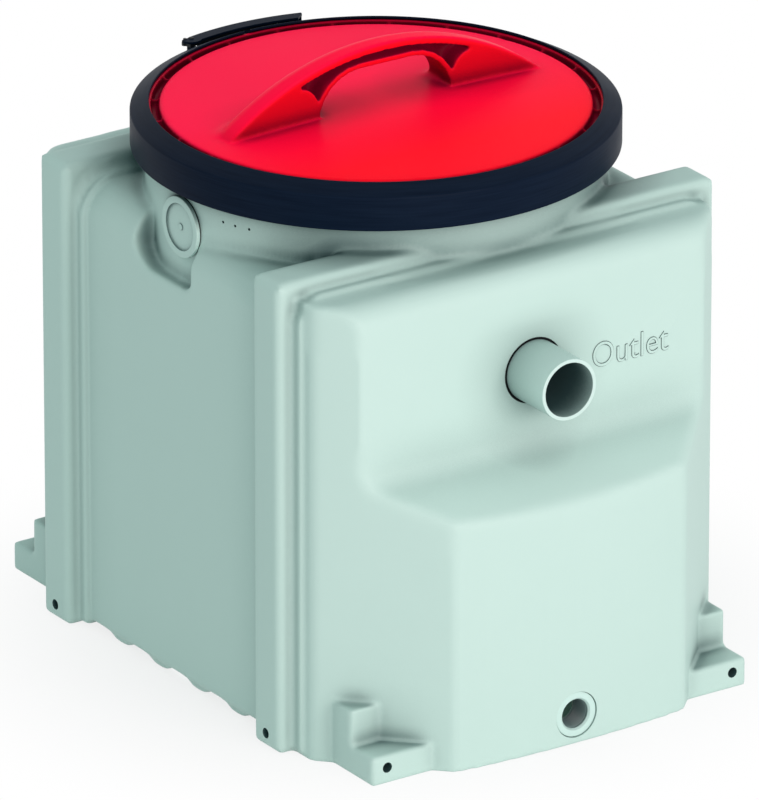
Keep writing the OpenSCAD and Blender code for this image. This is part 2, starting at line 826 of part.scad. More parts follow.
module clamp_ring() {
    top = crease_ring_z + (ring_r - ring_lip_r) * lip_slope;
    color(ring_black) difference() {
        rotate_extrude() polygon([[lower_lip_r, ring_z], [ring_r, ring_z], [ring_r, crease_ring_z],
            [ring_lip_r, top], [ring_lip_r, lip_under(ring_lip_r)], [ring_in, lip_under(ring_in)],
            [ring_in, ring_z + ring_t], [lower_lip_r, ring_z + ring_t]]);
        rotate([0, 0, gap_angle]) translate([ring_lip_r - cut, -ring_gap / 2, ring_z - over])
            cube([2 * cut, ring_gap, ring_h + 2 * ring_lip_rise]);
    }
}

module hinge_bracket() {
    web_t = 5;
    z1 = knuckle_z + knuckle_h;
    color(ring_black) difference() {
        union() {
            strip(ring_r, ring_r + plate_t, pivot_angle - plate_half_angle,
                pivot_angle + plate_half_angle, knuckle_z, z1);
            at_pivot() {
                translate([-web_t / 2, -pivot_off + plate_t / 2, knuckle_z])
                    cube([web_t, pivot_off - plate_t / 2, knuckle_h]);
                translate([0, 0, knuckle_z]) cylinder(h = knuckle_h, r = knuckle_r);
            }
        }
        at_pivot() translate([0, 0, knuckle_z - over])
            cylinder(h = knuckle_h + 2 * over, r = pivot_pin_r);
    }
}

module strike_bracket() {
    z1 = knuckle_z + knuckle_h;
    lip_top = ring_r + strike_reach;
    color(ring_black) union() {
        strip(ring_r, ring_r + plate_t, strike_angle - plate_half_angle / 2,
            strike_angle + 2 * plate_half_angle, knuckle_z, z1);
        rotate([0, 0, strike_angle - 90])
            translate([-bar_r - strike_gap - strike_t, ring_r + plate_t / 2, knuckle_z])
                cube([strike_t, lip_top - ring_r - plate_t / 2, knuckle_h]);
    }
}

module lever_pin() {
    head = 0.8;
    color(steel_grey) at_pivot() translate([0, 0, lever_z - head])
        cylinder(h = lever_h + 2 * head, r = pivot_pin_r);
}

// Round rivet heads on the two brackets' plates
module bracket_rivets() {
    rivet_r = 2;
    rivet_h = 1;
    pitch = 0.4 * knuckle_h;
    spots = [pivot_angle + 0.7 * plate_half_angle, strike_angle + 1.6 * plate_half_angle];
    color(steel_grey) for (a = spots, s = [-1, 1]) rotate([0, 0, a])
        translate([0, 0, knuckle_z + (knuckle_h + s * pitch) / 2])
            rod_x(ring_r + plate_t, ring_r + plate_t + rivet_h, rivet_r);
}

// One flange of the lever: a curved strip that ends in a round heel about the pivot
module lever_flange(z) {
    difference() {
        union() {
            strip(lever_in, lever_out, lever_end_angle, pivot_angle, z, z + lever_t);
            intersection() {
                at_pivot() translate([0, 0, z]) cylinder(h = lever_t, r = heel_r);
                translate([0, 0, z]) cylinder(h = lever_t, r = lever_out - heel_gap);
            }
        }
        at_pivot() translate([0, 0, z - over]) {
            cylinder(h = lever_t + 2 * over, r = pivot_pin_r + swing);
            translate([eye.x, eye.y, 0]) cylinder(h = lever_t + 2 * over, r = link_pin_r + push);
        }
    }
}

module clamp_lever() {
    web_clear = 2.6;
    tip_angle = 35;
    tip_edge = 2.6;
    color(ring_black) difference() {
        union() {
            lever_flange(lever_z);
            lever_flange(lever_z + lever_h - lever_t);
            strip(lever_out - lever_t, lever_out, lever_end_angle, pivot_angle - web_clear,
                lever_z, lever_z + lever_h);
        }
        rotate([0, 0, lever_end_angle]) translate([lever_out - tip_edge, 0, lever_z - over])
            rotate([0, 0, -tip_angle]) translate([-2 * cut, 0, 0])
                mirror([0, 1, 0]) cube([2 * cut, cut, lever_h + 2 * over]);
    }
}

// Two short pins that join the lever's flanges to the link's eyes
module link_pins() {
    head = 0.6;
    color(steel_grey) at_pivot() translate([eye.x, eye.y, 0]) {
        translate([0, 0, lever_z - head]) cylinder(h = link_z + link_w - lever_z + head, r = link_pin_r);
        translate([0, 0, link_top - link_w])
            cylinder(h = lever_z + lever_h + head - link_top + link_w, r = link_pin_r);
    }
}

// Bent wire link: an eye behind the pivot, a crank past the pin, an arm along the ring, a bar
module link_arm(z) {
    eye_angle = pivot_angle + atan(-eye.x / pivot_r);
    leg = pivot_r + eye.y - link_in;
    difference() {
        union() {
            strip(link_in, link_out, strike_angle, eye_angle, z, z + link_w);
            at_pivot() translate([eye.x, eye.y, z]) {
                cylinder(h = link_w, r = eye_r);
                translate([-link_w / 2, -leg, 0]) cube([link_w, leg, link_w]);
            }
        }
        at_pivot() translate([eye.x, eye.y, z - over])
            cylinder(h = link_w + 2 * over, r = link_pin_r + swing);
    }
}

module clamp_link() {
    color(steel_grey) {
        link_arm(link_z);
        link_arm(link_top - link_w);
        rotate([0, 0, strike_angle]) translate([link_mid, 0, link_z])
            cylinder(h = link_top - link_z, r = bar_r);
    }
}

tank();
outlet_pipe();
outlet_seal();
outlet_tee();
outlet_dip_pipe();
inlet_pipe();
inlet_seal();
inlet_elbow();
drain_bush();
vent_plug();
vent_seal();
sludge_bucket();
bucket_bail();
lid();
lid_seal();
clamp_ring();
hinge_bracket();
strike_bracket();
lever_pin();
bracket_rivets();
clamp_lever();
link_pins();
clamp_link();
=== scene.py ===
import json
import math

import bmesh
import bpy
import numpy as np
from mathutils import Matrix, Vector


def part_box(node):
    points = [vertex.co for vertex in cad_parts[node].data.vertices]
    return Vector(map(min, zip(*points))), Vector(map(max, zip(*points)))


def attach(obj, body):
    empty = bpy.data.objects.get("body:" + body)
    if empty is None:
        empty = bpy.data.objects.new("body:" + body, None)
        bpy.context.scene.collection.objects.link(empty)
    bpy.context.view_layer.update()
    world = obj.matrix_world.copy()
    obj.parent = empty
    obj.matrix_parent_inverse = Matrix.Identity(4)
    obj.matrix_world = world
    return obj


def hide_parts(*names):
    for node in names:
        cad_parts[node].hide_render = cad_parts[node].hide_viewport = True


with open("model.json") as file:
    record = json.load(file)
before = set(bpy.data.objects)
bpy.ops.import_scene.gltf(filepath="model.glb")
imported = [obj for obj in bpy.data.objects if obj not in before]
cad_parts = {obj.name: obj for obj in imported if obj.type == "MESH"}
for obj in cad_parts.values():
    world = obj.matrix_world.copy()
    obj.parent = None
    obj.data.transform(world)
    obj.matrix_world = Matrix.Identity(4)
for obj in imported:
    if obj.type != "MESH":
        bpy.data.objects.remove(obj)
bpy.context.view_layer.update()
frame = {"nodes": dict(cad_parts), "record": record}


# Tank. One rotational moulding in pale grey-green polyethylene, about 6 mm thick all over.
# The mould leaves every edge rolled over and a fine satin grain on the skin.
# The holes for pipes, drain, vent and floor fixings are cut into it after it has cooled.

mm = 0.001
nodes = frame["nodes"]
mounts = {mount["name"]: mount for mount in frame["record"]["mounts"]}


def node_group(name, inputs, outputs):
    """An empty shader group with float inputs and outputs, and its two end nodes."""
    group = bpy.data.node_groups.new(name, "ShaderNodeTree")
    for label, value in inputs.items():
        socket = group.interface.new_socket(label, in_out="INPUT", socket_type="NodeSocketFloat")
        socket.default_value = value
    for label in outputs:
        group.interface.new_socket(label, in_out="OUTPUT", socket_type="NodeSocketFloat")
    return group, group.nodes.new("NodeGroupInput"), group.nodes.new("NodeGroupOutput")


def group_in(tree, group, values):
    """The outputs of a shader group that is placed in a material with its own values."""
    node = tree.nodes.new("ShaderNodeGroup")
    node.node_tree = group
    for label, value in values.items():
        node.inputs[label].default_value = value
    return node.outputs


def feed(tree, given, socket):
    """Lead another node's output, or a plain value, into an input."""
    if isinstance(given, bpy.types.NodeSocket):
        tree.links.new(given, socket)
    else:
        socket.default_value = given


def ramp(tree, value, low, high, start=0.0, end=1.0, kind="LINEAR"):
    """A value that goes from low to high while the given one goes from start to end."""
    node = tree.nodes.new("ShaderNodeMapRange")
    node.interpolation_type = kind
    labels = ("Value", "From Min", "From Max", "To Min", "To Max")
    for label, given in zip(labels, (value, start, end, low, high)):
        feed(tree, given, node.inputs[label])
    return node.outputs["Result"]


def maths(tree, operation, first, second):
    """Two values joined by an operation, such as MULTIPLY or MAXIMUM."""
    node = tree.nodes.new("ShaderNodeMath")
    node.operation = operation
    feed(tree, first, node.inputs[0])
    feed(tree, second, node.inputs[1])
    return node.outputs[0]


def blend(tree, mask, first, second):
    """A colour that goes from the first to the second where the given mask runs from 0 to 1."""
    node = tree.nodes.new("ShaderNodeMix")
    node.data_type = "RGBA"
    tree.links.new(mask, node.inputs[0])
    for index, colour in ((6, first), (7, second)):
        feed(tree, (*colour, 1.0) if isinstance(colour, tuple) else colour, node.inputs[index])
    return node.outputs[2]


def bump(tree, height, shader, strength, distance):
    """Fine relief on the surface of a shader."""
    node = tree.nodes.new("ShaderNodeBump")
    node.inputs["Strength"].default_value = strength
    node.inputs["Distance"].default_value = distance
    tree.links.new(height, node.inputs["Height"])
    tree.links.new(node.outputs["Normal"], shader.inputs["Normal"])


def along_axis(tree, vector, axis):
    """One coordinate of a vector."""
    split = tree.nodes.new("ShaderNodeSeparateXYZ")
    tree.links.new(vector, split.inputs["Vector"])
    return split.outputs[axis]


def moulded_grain_group():
    """Satin grain of moulded plastic: fine Height, broad soft Cloud and sparse dark Speck."""
    group, given, result = node_group(
        "moulded_grain",
        {"Grain Scale": 900.0, "Cloud Scale": 9.0, "Speck Scale": 260.0},
        ["Height", "Cloud", "Speck"],
    )
    place = group.nodes.new("ShaderNodeTexCoord")
    for label, scale, detail in (("Height", "Grain Scale", 3.0), ("Cloud", "Cloud Scale", 4.0)):
        noise = group.nodes.new("ShaderNodeTexNoise")
        noise.inputs["Detail"].default_value = detail
        noise.inputs["Roughness"].default_value = 0.6
        group.links.new(place.outputs["Object"], noise.inputs["Vector"])
        group.links.new(given.outputs[scale], noise.inputs["Scale"])
        group.links.new(noise.outputs["Fac"], result.inputs[label])
    cells = group.nodes.new("ShaderNodeTexVoronoi")
    group.links.new(place.outputs["Object"], cells.inputs["Vector"])
    group.links.new(given.outputs["Speck Scale"], cells.inputs["Scale"])
    speck = ramp(group, cells.outputs["Distance"], 1.0, 0.0, start=0.05, end=0.16)
    group.links.new(speck, result.inputs["Speck"])
    return group


moulded_grain = moulded_grain_group()

# Painted crease shade: heights over which other pieces begin or cease to shade the tank, then the powers
# of the shade's curve
shade_samples = 8
close_share = 0.3
off_floor = (60 * mm, 120 * mm)
below_bulge_top = (350 * mm, 330 * mm)
up_neck = (383 * mm, 393 * mm)
near_ring = (372 * mm, 392 * mm)
open_curve = 0.72
ring_curve = 1.15


def openness(tree, reach, own_only):
    """How open a place is out to a reach, among its own piece's faces or among all pieces."""
    around = tree.nodes.new("ShaderNodeAmbientOcclusion")
    around.samples = shade_samples
    around.only_local = own_only
    tree.links.new(reach, around.inputs["Distance"])
    return around.outputs["AO"]


def painted_crease_shade_group():
    """Mask of painted shade in creases: 0 deep in one, 1 in the open. Other pieces count at mid height and
    at the neck.
    """
    group, given, result = node_group("painted_crease_shade", {"Reach": 0.05, "Deepest": 0.22}, ["Shade"])
    reach = given.outputs["Reach"]
    place = group.nodes.new("ShaderNodeTexCoord")
    height = along_axis(group, place.outputs["Object"], "Z")
    above_floor, below_top, on_neck = (
        ramp(group, height, 0.0, 1.0, *span) for span in (off_floor, below_bulge_top, up_neck)
    )
    middle = maths(group, "MULTIPLY", above_floor, below_top)
    others_count = maths(group, "MAXIMUM", middle, on_neck)
    broad = ramp(group, others_count, openness(group, reach, True), openness(group, reach, False))
    close = openness(group, maths(group, "MULTIPLY", reach, close_share), True)
    both = maths(group, "MULTIPLY", broad, close)
    shade = ramp(group, both, 0.0, 1.0, start=given.outputs["Deepest"])
    curve = ramp(group, height, open_curve, ring_curve, *near_ring)
    group.links.new(maths(group, "POWER", shade, curve), result.inputs["Shade"])
    return group


painted_crease_shade = painted_crease_shade_group()

speck_share = 0.6
# Share of the deep tone that the painted shade keeps in the deepest creases, channel by channel
painted_shade_shares = (0.08, 0.125, 0.14)
grain_height = 0.4 * mm
# Rise of a face's normal over which the painted light on upright faces gives way to the plain tone
painted_light_rise = (0.15, 0.85)
# Depths over which the painted sheen drifts in toward the back of a round piece
sheen_drift = (-110 * mm, 30 * mm)


def painted_light_on_upright_faces(tree, tone, upright):
    """Painted light: a colour that changes where a face stands upright, as light falls on it differently
    there.
    """
    surface = tree.nodes.new("ShaderNodeNewGeometry")
    rise = along_axis(tree, surface.outputs["Normal"], "Z")
    return blend(tree, ramp(tree, rise, 0.0, 1.0, *painted_light_rise), upright, tone)


def painted_sheen_toward_the_back(tree, tone, rear):
    """Painted sheen: a colour that drifts to another one behind the front third of a round piece."""
    place = tree.nodes.new("ShaderNodeTexCoord")
    depth = along_axis(tree, place.outputs["Object"], "Y")
    return blend(tree, ramp(tree, depth, 0.0, 1.0, *sheen_drift), tone, rear)


def new_material(name, specular):
    """A new material, its tree of nodes and its shader."""
    material = bpy.data.materials.new(name)
    material.use_nodes = True
    shader = material.node_tree.nodes["Principled BSDF"]
    shader.inputs["Specular IOR Level"].default_value = specular
    return material, material.node_tree, shader


def moulded_plastic(name, pale, deep, rough, grain_scale, grain_depth, speck=0.04, specular=0.5,
                    reach=0.05, rear=None, upright=None, dark=None):
    """Moulded plastic: two drifting tones, specks and grain, and painted shade in its creases.

    A painted sheen can shift the tone toward the rear of the piece, and painted light can change it on
    upright faces.
    """
    material, tree, shader = new_material(name, specular)
    grain = group_in(tree, moulded_grain, {"Grain Scale": grain_scale})
    dots = ramp(tree, grain["Speck"], 0.0, speck)
    tone = blend(tree, grain["Cloud"], deep, pale)
    tone = blend(tree, dots, tone, tuple(speck_share * part for part in deep))
    # Painted sheen: the tone drifts to the rear colour behind the front of the piece
    if rear:
        tone = painted_sheen_toward_the_back(tree, tone, rear)
    # Painted light: upright faces take their own colour
    if upright:
        tone = painted_light_on_upright_faces(tree, tone, upright)
    # Painted shade: creases are darkened toward the dark tone where the crease mask falls
    dark = dark or tuple(share * part for share, part in zip(painted_shade_shares, deep))
    shade = group_in(tree, painted_crease_shade, {"Reach": reach})["Shade"]
    tree.links.new(blend(tree, shade, dark, tone), shader.inputs["Base Color"])
    tree.links.new(ramp(tree, grain["Cloud"], *rough), shader.inputs["Roughness"])
    bump(tree, grain["Height"], shader, grain_depth, grain_height)
    return material


def turned(bm, origin, axis, profile, segments=96, closed=False, sweep=None, start=(0, 0, 0)):
    """Turn a profile of (along, radius) points about an axis, all round or over a sweep of angles."""
    axis = Vector(axis).normalized()
    across = Vector(start) if Vector(start).length else axis.orthogonal()
    across.normalize()
    other = axis.cross(across)
    low, high = sweep or (0.0, 2 * math.pi)
    stations = segments + 1 if sweep else segments
    angles = [low + (high - low) * k / segments for k in range(stations)]
    rings = []
    for along, radius in profile:
        centre = Vector(origin) + axis * along
        if radius == 0:
            rings.append([bm.verts.new(centre)])
            continue
        spokes = [math.cos(a) * across + math.sin(a) * other for a in angles]
        rings.append([bm.verts.new(centre + radius * spoke) for spoke in spokes])
    following = rings[1:] + rings[:1] if closed else rings[1:]
    for inner, outer in zip(rings, following):
        for k in range(segments):
            j = (k + 1) % stations
            loop = [inner[k % len(inner)], inner[j % len(inner)]]
            loop += [outer[j % len(outer)], outer[k % len(outer)]]
            bm.faces.new(list(dict.fromkeys(loop)))
    if sweep and closed:
        bm.faces.new([ring[0] for ring in rings])
        bm.faces.new([ring[-1] for ring in reversed(rings)])
    bmesh.ops.recalc_face_normals(bm, faces=bm.faces)


def rod(bm, origin, axis, steps, segments=96):
    """A closed round solid along an axis, from steps of (from, to, radius)."""
    profile = [(steps[0][0], 0)]
    for near, far, radius in steps:
        profile += [(near, radius), (far, radius)]
    turned(bm, origin, axis, profile + [(steps[-1][1], 0)], segments)


hard_edge = math.radians(40)


def mesh_of(bm, name):
    """The mesh of a finished bmesh, smooth but for its hard edges."""
    mesh = bpy.data.meshes.new(name)
    bm.to_mesh(mesh)
    bm.free()
    mesh.shade_smooth()
    mesh.set_sharp_from_angle(angle=hard_edge)
    return mesh


def placed(name, data):
    """A new object in the scene."""
    made = bpy.data.objects.new(name, data)
    bpy.context.scene.collection.objects.link(made)
    return made


def evaluated(data, *modifiers):
    """A mesh or a curve after modifiers, each given as (type, {setting: value})."""
    carrier = placed("carrier", data)
    for kind, settings in modifiers:
        modifier = carrier.modifiers.new(kind.lower(), kind)
        for setting, value in settings.items():
            setattr(modifier, setting, value)
    ready = carrier.evaluated_get(bpy.context.evaluated_depsgraph_get())
    result = bpy.data.meshes.new_from_object(ready)
    bpy.data.objects.remove(carrier)
    return result


def sawn(mesh, saw_mesh):
    """A mesh with the space of another one cut out of it."""
    saw = placed("saw", saw_mesh)
    cut = {"object": saw, "operation": "DIFFERENCE", "solver": "MANIFOLD"}
    result = evaluated(mesh, ("BOOLEAN", cut))
    bpy.data.objects.remove(saw)
    return result


def welded(node):
    """A bmesh of a node's solid with its doubled corners joined."""
    bm = bmesh.new()
    bm.from_mesh(nodes[node].data)
    bmesh.ops.remove_doubles(bm, verts=bm.verts, dist=0.001 * mm)
    return bm


def remeshed(bm, voxel):
    """An even skin of small faces over a bmesh of closed solids."""
    mesh = bpy.data.meshes.new("solids")
    bm.to_mesh(mesh)
    bm.free()
    return evaluated(mesh, ("REMESH", {"mode": "VOXEL", "voxel_size": voxel}))


def thinned(mesh, triangles):
    """A mesh with no more than about this many triangles."""
    share = min(1.0, triangles / (2 * len(mesh.polygons)))
    return evaluated(mesh, ("DECIMATE", {"ratio": share, "use_collapse_triangulate": True}))


def points_of(mesh):
    """The mesh's corners as an array of places."""
    places = np.zeros(len(mesh.vertices) * 3)
    mesh.vertices.foreach_get("co", places)
    return places.reshape(-1, 3)


def relaxed(mesh, passes, weight=None):
    """Roll edges over: move each corner half way to its neighbours' mean, as its weight says."""
    places = points_of(mesh)
    count = len(places)
    pairs = np.zeros(len(mesh.edges) * 2, dtype=np.int64)
    mesh.edges.foreach_get("vertices", pairs)
    one, two = pairs.reshape(-1, 2).T
    links = np.bincount(one, minlength=count) + np.bincount(two, minlength=count)
    pull = 0.5 * np.ones(count) if weight is None else 0.5 * weight(*places.T)
    for _ in range(passes):
        for axis in range(3):
            line = places[:, axis]
            total = np.bincount(one, line[two], count) + np.bincount(two, line[one], count)
            places[:, axis] = line + pull * (total / links - line)
    mesh.vertices.foreach_set("co", places.ravel())
    mesh.update()


def within(value, low, high, fade):
    """1 between low and high, falling smoothly to 0 over the fade on either side."""
    depth = np.minimum(value - low, high - value) / fade + 1
    depth = np.clip(depth, 0, 1)
    return depth * depth * (3 - 2 * depth)


def piece(name, mesh, material, body, slot, *replaced):
    """A finished piece: it rides on a body and stands for nodes. Its slot argument is not used."""
    made = placed(name, mesh)
    mesh.materials.clear()
    mesh.materials.append(material)
    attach(made, body)
    if replaced:
        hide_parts(*replaced)
    return made


tank_voxel = 1.8 * mm
tank_triangles = 185000
tank_hard_edge = math.radians(50)
rolled_passes = 3
soft_passes = 40
normal_weight = 50
tank_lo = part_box("tank")[0]
face_y = 217.5 * mm
neck_r = 180 * mm
outlet_z, inlet_z = (mounts[name]["pos_m"][2] for name in ("outlet_stub", "inlet_stub"))
drain_z = mounts["drain"]["pos_m"][2]
vent_z = sum(corner.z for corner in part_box("vent_plug")) / 2
vent_seat_x = -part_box("vent_seal")[1].x
pipe_hole_r = 27 * mm
drain_seat_r = 19 * mm
drain_seat_depth = 4 * mm
drain_hole_r = 16.2 * mm
vent_seat_r = 25.2 * mm
vent_hole_r = 19.95 * mm
hole_reach = 30 * mm
wall_fill = 6 * mm
vent_fill = 4 * mm
fixing_depth = 26 * mm
fill_margin = 1 * mm

# Each hole: where its mouth is, the way in, how deep the fill goes that hides it at first, and its steps
holes = []
for at_z, side in ((outlet_z, -1), (inlet_z, 1)):
    mouth = Vector((0, side * face_y, at_z))
    holes.append((mouth, (0, -side, 0), wall_fill, [(-hole_reach, hole_reach, pipe_hole_r)]))
drain_steps = [
    (-hole_reach, drain_seat_depth, drain_seat_r),
    (drain_seat_depth, hole_reach, drain_hole_r),
]
holes.append((Vector((0, tank_lo.y, drain_z)), (0, 1, 0), wall_fill, drain_steps))
vent_steps = [(-hole_reach, 0, vent_seat_r), (0, hole_reach, vent_hole_r)]
holes.append((Vector((-vent_seat_x, 0, vent_z)), (1, 0, 0), vent_fill, vent_steps))
for name in ("foot_holes_front", "foot_holes_rear", "side_holes_left", "side_holes_right"):
    mount = mounts[name]
    outward = Vector(mount["axis"])
    along = Vector((1, 0, 0)) if outward.x == 0 else Vector((0, 1, 0))
    for side in (-1, 1):
        mouth = Vector(mount["pos_m"]) + along * side * mount["dims"]["spacing_x_mm"] * mm / 2
        radius = mount["dims"]["hole_r_mm"] * mm
        holes.append((mouth, -outward, fixing_depth, [(-hole_reach, fixing_depth, radius)]))

# Three small pin marks of the mould in the neck beside the vent plug, by turn and height
pin_marks = ((-164.7, 397.9), (-160.9, 397.6), (-156.7, 397.8))
pin_step = (-2 * mm, 2.2 * mm, 1.1 * mm)
for turn, height in pin_marks:
    out = Vector((math.cos(math.radians(turn)), math.sin(math.radians(turn)), 0))
    holes.append((neck_r * out + Vector((0, 0, height * mm)), -out, 0, [pin_step]))

# Where the mould has broad radii: from, to and the fade at either end, then how soft each place is
shelf_ahead = (212 * mm, 285 * mm, 8 * mm)
shelf_height = (190 * mm, 250 * mm, 20 * mm)
corner_ahead = (186 * mm, 236 * mm, 6 * mm)
corner_aside = (125 * mm, 200 * mm, 12 * mm)
corner_height = (345 * mm, 392 * mm, 10 * mm)
scoop_aside = (-215 * mm, -150 * mm, 10 * mm)
scoop_along = (-72 * mm, 72 * mm, 10 * mm)
scoop_height = (322 * mm, 402 * mm, 10 * mm)
root_round = (172 * mm, 200 * mm, 8 * mm)
root_height = (372 * mm, 400 * mm, 6 * mm)
corner_soft = 0.7
scoop_soft = 0.2
root_soft = 0.2


def soft_places(x, y, z):
    """Softest at the shelves, then at the bulges' top corners, the scoop and the root of the neck."""
    ahead, aside, round_neck = np.abs(y), np.abs(x), np.hypot(x, y)
    shelf = within(ahead, *shelf_ahead) * within(z, *shelf_height)
    corner = within(ahead, *corner_ahead) * within(aside, *corner_aside) * within(z, *corner_height)
    scoop = within(x, *scoop_aside) * within(y, *scoop_along) * within(z, *scoop_height)
    root = within(round_neck, *root_round) * within(z, *root_height)
    return np.maximum.reduce([shelf, corner_soft * corner, scoop_soft * scoop, root_soft * root])


wall_x = 190.5 * mm
shoulder_top = 385 * mm
shoulder_r = 28 * mm
scoop_floor = 335 * mm
scoop_corner = 10 * mm
scoop_edge = -24 * mm
scoop_end = -58 * mm
filler_levels = 24
filler_sunk = 6 * mm
filler_over = 4 * mm
filler_in_neck = 3 * mm
filler_least = 1 * mm


def scoop_filler(bm):
    """Fill the front third of the scoop up to the shoulder's round, with a hollow corner at its floor."""
    filler_height = shoulder_top - scoop_floor + filler_over
    levels = []
    for k in range(filler_levels + 1):
        z = scoop_floor - filler_sunk + k * filler_height / filler_levels
        rise = min(max(z - shoulder_top + shoulder_r, 0), shoulder_r)
        outer = -wall_x + shoulder_r - math.sqrt(shoulder_r ** 2 - rise ** 2)
        lift = min(max(scoop_floor + scoop_corner - z, 0), scoop_corner)
        edge = scoop_edge + scoop_corner - math.sqrt(scoop_corner ** 2 - lift ** 2)
        corners = []
        for y in (scoop_end, edge):
            inner = -math.sqrt((neck_r - filler_in_neck) ** 2 - y * y)
            corners += [(min(outer, inner - filler_least), y, z), (inner, y, z)]
        levels.append([bm.verts.new(corners[j]) for j in (0, 2, 3, 1)])
    bm.faces.new(levels[0])
    bm.faces.new(reversed(levels[-1]))
    for low_ring, high_ring in zip(levels, levels[1:]):
        for j in range(4):
            n = (j + 1) % 4
            bm.faces.new([low_ring[j], high_ring[j], high_ring[n], low_ring[n]])
    bmesh.ops.recalc_face_normals(bm, faces=bm.faces)


# The shoulders' fall and its spans, which are open at one end: far off stands for no limit there
far_off = 9
shoulder_fall = 8 * mm
shoulder_along = (-far_off, 127 * mm, 4 * mm)
shoulder_above = (374 * mm, far_off, 42 * mm)
shoulder_below = (-far_off, 386 * mm, 12 * mm)


def lowered_shoulders(mesh):
    """Let the shoulders between the bands fall a little toward the neck."""
    places = points_of(mesh)
    y, z = np.abs(places[:, 1]), places[:, 2]
    fall = within(y, *shoulder_along) * within(z, *shoulder_above) * within(z, *shoulder_below)
    places[:, 2] -= shoulder_fall * fall
    mesh.vertices.foreach_set("co", places.ravel())


tank_bm = welded("tank")
scoop_filler(tank_bm)
saws_bm = bmesh.new()
for mouth, way_in, fill, steps in holes:
    rod(saws_bm, mouth, way_in, steps)
    if fill:
        rod(tank_bm, mouth, way_in, [(0, fill, max(step[2] for step in steps) + fill_margin)])
tank_mesh = remeshed(tank_bm, tank_voxel)
lowered_shoulders(tank_mesh)
relaxed(tank_mesh, rolled_passes)
relaxed(tank_mesh, soft_passes, soft_places)
tank_mesh = sawn(thinned(tank_mesh, tank_triangles), mesh_of(saws_bm, "hole_saws"))
tank_mesh.shade_smooth()
tank_mesh.set_sharp_from_angle(angle=tank_hard_edge)
tank_mesh = evaluated(tank_mesh, ("WEIGHTED_NORMAL", {"keep_sharp": True, "weight": normal_weight}))
tank_plastic = moulded_plastic(
    "tank_plastic",
    pale=(0.65, 0.84, 0.78),
    deep=(0.62, 0.81, 0.75),
    rough=(0.42, 0.52),
    grain_scale=850.0,
    grain_depth=0.10,
    specular=0.2,
)
tank_moulding = piece("tank_moulding", tank_mesh, tank_plastic, "tank", "tank_pe", "tank")


# Lettering. The plain word beside the outlet stands a little proud of the face, with a fine
# groove around each letter. It is part of the moulding, so it has the tank's own plastic.

letter_left = 55.1 * mm
letter_right = 126 * mm
letter_base = 281.6 * mm
letter_rise = 20.3 * mm
letter_proud = 0.5 * mm
letter_depth = 1.2 * mm
letter_spread = -0.010
groove_spread = 0.005
groove_saw_proud = 2 * mm


def worded(spread):
    """The word as a flat solid in the font's own units, its strokes spread by a little."""
    word = bpy.data.curves.new("outlet_word", "FONT")
    word.body = "Outlet"
    word.extrude = 0.5
    word.offset = spread
    word.resolution_u = 6
    return evaluated(word)


def on_face(mesh, low, high, proud):
    """The word set on the tank's upper face, closed all round."""
    places = points_of(mesh)
    across, up, out = ((places - low) / (high - low)).T
    places[:, 0] = letter_left + across * (letter_right - letter_left)
    places[:, 1] = -face_y + letter_depth - out * (proud + letter_depth)
    places[:, 2] = letter_base + up * letter_rise
    mesh.vertices.foreach_set("co", places.ravel())
    bm = bmesh.new()
    bm.from_mesh(mesh)
    bmesh.ops.remove_doubles(bm, verts=bm.verts, dist=0.01 * mm)
    bmesh.ops.recalc_face_normals(bm, faces=bm.faces)
    return mesh_of(bm, "outlet_word")


letters, grooves = worded(letter_spread), worded(groove_spread)
letter_places = points_of(letters)
low, high = letter_places.min(0), letter_places.max(0)
tank_moulding.data = evaluated(
    sawn(tank_moulding.data, on_face(grooves, low, high, groove_saw_proud)),
    ("WEIGHTED_NORMAL", {"keep_sharp": True, "weight": normal_weight}),
)
piece("outlet_lettering", on_face(letters, low, high, letter_proud), tank_plastic, "tank", "tank_pe")


# Pipe stubs. Two short ends of 50 mm polyethylene pipe, cut square and eased at the rim.
# Each is pushed through its hole in the tank and held by a black rubber grommet, which shows
# as a thin dark line around it.

def filleted(corners, closed=True, steps=4):
    """Profile points (along, radius) from corners (along, radius, fillet), each corner an arc."""
    places = [Vector(corner[:2]) for corner in corners]
    points = []
    for k, (here, corner) in enumerate(zip(places, corners)):
        fillet = corner[2]
        if fillet == 0 or (not closed and k in (0, len(places) - 1)):
            points.append(tuple(here))
            continue
        back = (places[k - 1] - here).normalized()
        on = (places[(k + 1) % len(places)] - here).normalized()
        reach = fillet / math.tan(back.angle(on) / 2)
        for step in range(steps + 1):
            u = step / steps
            point = here + back * reach * (1 - u) ** 2 + on * reach * u ** 2
            points.append(tuple(point))
    return points


def turned_mesh(name, origin, axis, corners, closed=True, segments=96, sweep=None, start=(0, 0, 0)):
    """A turned solid from corners with fillets."""
    bm = bmesh.new()
    turned(bm, origin, axis, filleted(corners, closed), segments, closed, sweep, start)
    return mesh_of(bm, name)


